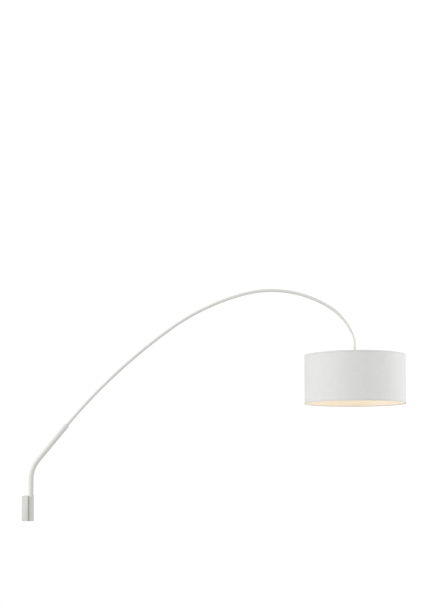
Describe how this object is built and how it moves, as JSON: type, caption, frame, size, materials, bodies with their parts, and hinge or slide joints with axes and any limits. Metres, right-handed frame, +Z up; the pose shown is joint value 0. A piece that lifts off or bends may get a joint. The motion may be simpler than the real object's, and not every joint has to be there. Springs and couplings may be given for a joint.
{
  "type": "wall-mounted arc lamp",
  "caption": "Wall-mounted arc lamp: a swivelling bent tube and a long bowed rod carry a fabric drum shade.",
  "frame": {"origin": "centre of the wall plate's back face, on the wall", "axes": "+X away from the wall, +Z up, Y along the wall"},
  "size_m": [1.8956, 0.5012, 1.1535],
  "materials": {
    "painted_steel": "satin",
    "painted_wire": "satin",
    "steel": "satin",
    "nickel": "satin",
    "brass": "satin",
    "polymer": "matte",
    "holder_plastic": "satin",
    "bulb_plastic": "satin",
    "bulb_globe": "satin",
    "ceramic": "satin",
    "rubber": "matte",
    "cable_sheath": "matte",
    "shade_fabric": "matte",
    "shade_tape": "matte",
    "shade_liner": "matte"
  },
  "bodies": {
    "bracket": {"wall_plate": "painted_steel", "cable_grommet": "rubber", "earth_screw": "brass", "bracket_housing": "painted_steel", "housing_screws": "steel", "swivel_sleeve": "painted_steel", "upper_bush": "polymer", "lower_bush": "polymer", "sleeve_end_cap": "painted_steel", "stop_pin": "steel", "friction_pad": "polymer", "friction_screw": "steel", "terminal_block": "polymer", "terminal_clamps": "brass", "terminal_screws": "steel", "terminal_block_screw": "steel", "bracket_leads": "cable_sheath"},
    "arm": {"lower_tube": "painted_steel", "rod_ferrule": "painted_steel", "rod_guide": "polymer", "socket_screws": "steel", "arc_rod": "painted_steel", "arm_cable": "cable_sheath", "tip_collar": "painted_steel", "collar_screw": "steel", "holder_cap": "holder_plastic", "cap_lock_screw": "steel", "tip_nut": "brass", "holder_body": "holder_plastic", "contact_insert": "ceramic", "centre_contact": "brass", "contact_shell": "brass", "holder_terminal_screws": "brass", "shade_clamp_ring": "holder_plastic", "shade_spider": "painted_wire", "shade_top_ring": "painted_wire", "shade_bottom_ring": "painted_wire", "shade_liner": "shade_liner", "shade_cover": "shade_fabric", "shade_seam": "shade_fabric", "shade_top_tape": "shade_tape", "shade_bottom_tape": "shade_tape", "bulb_cap": "nickel", "bulb_contact": "brass", "bulb_body": "bulb_plastic", "bulb_globe": "bulb_globe"}
  },
  "joints": [
    {"name": "arm_swivel", "type": "hinge", "parent": "bracket", "child": "arm", "pos_m": [0.04, 0, 0], "axis": [0, 0, 1], "range_deg": [-80, 80]}
  ]
}
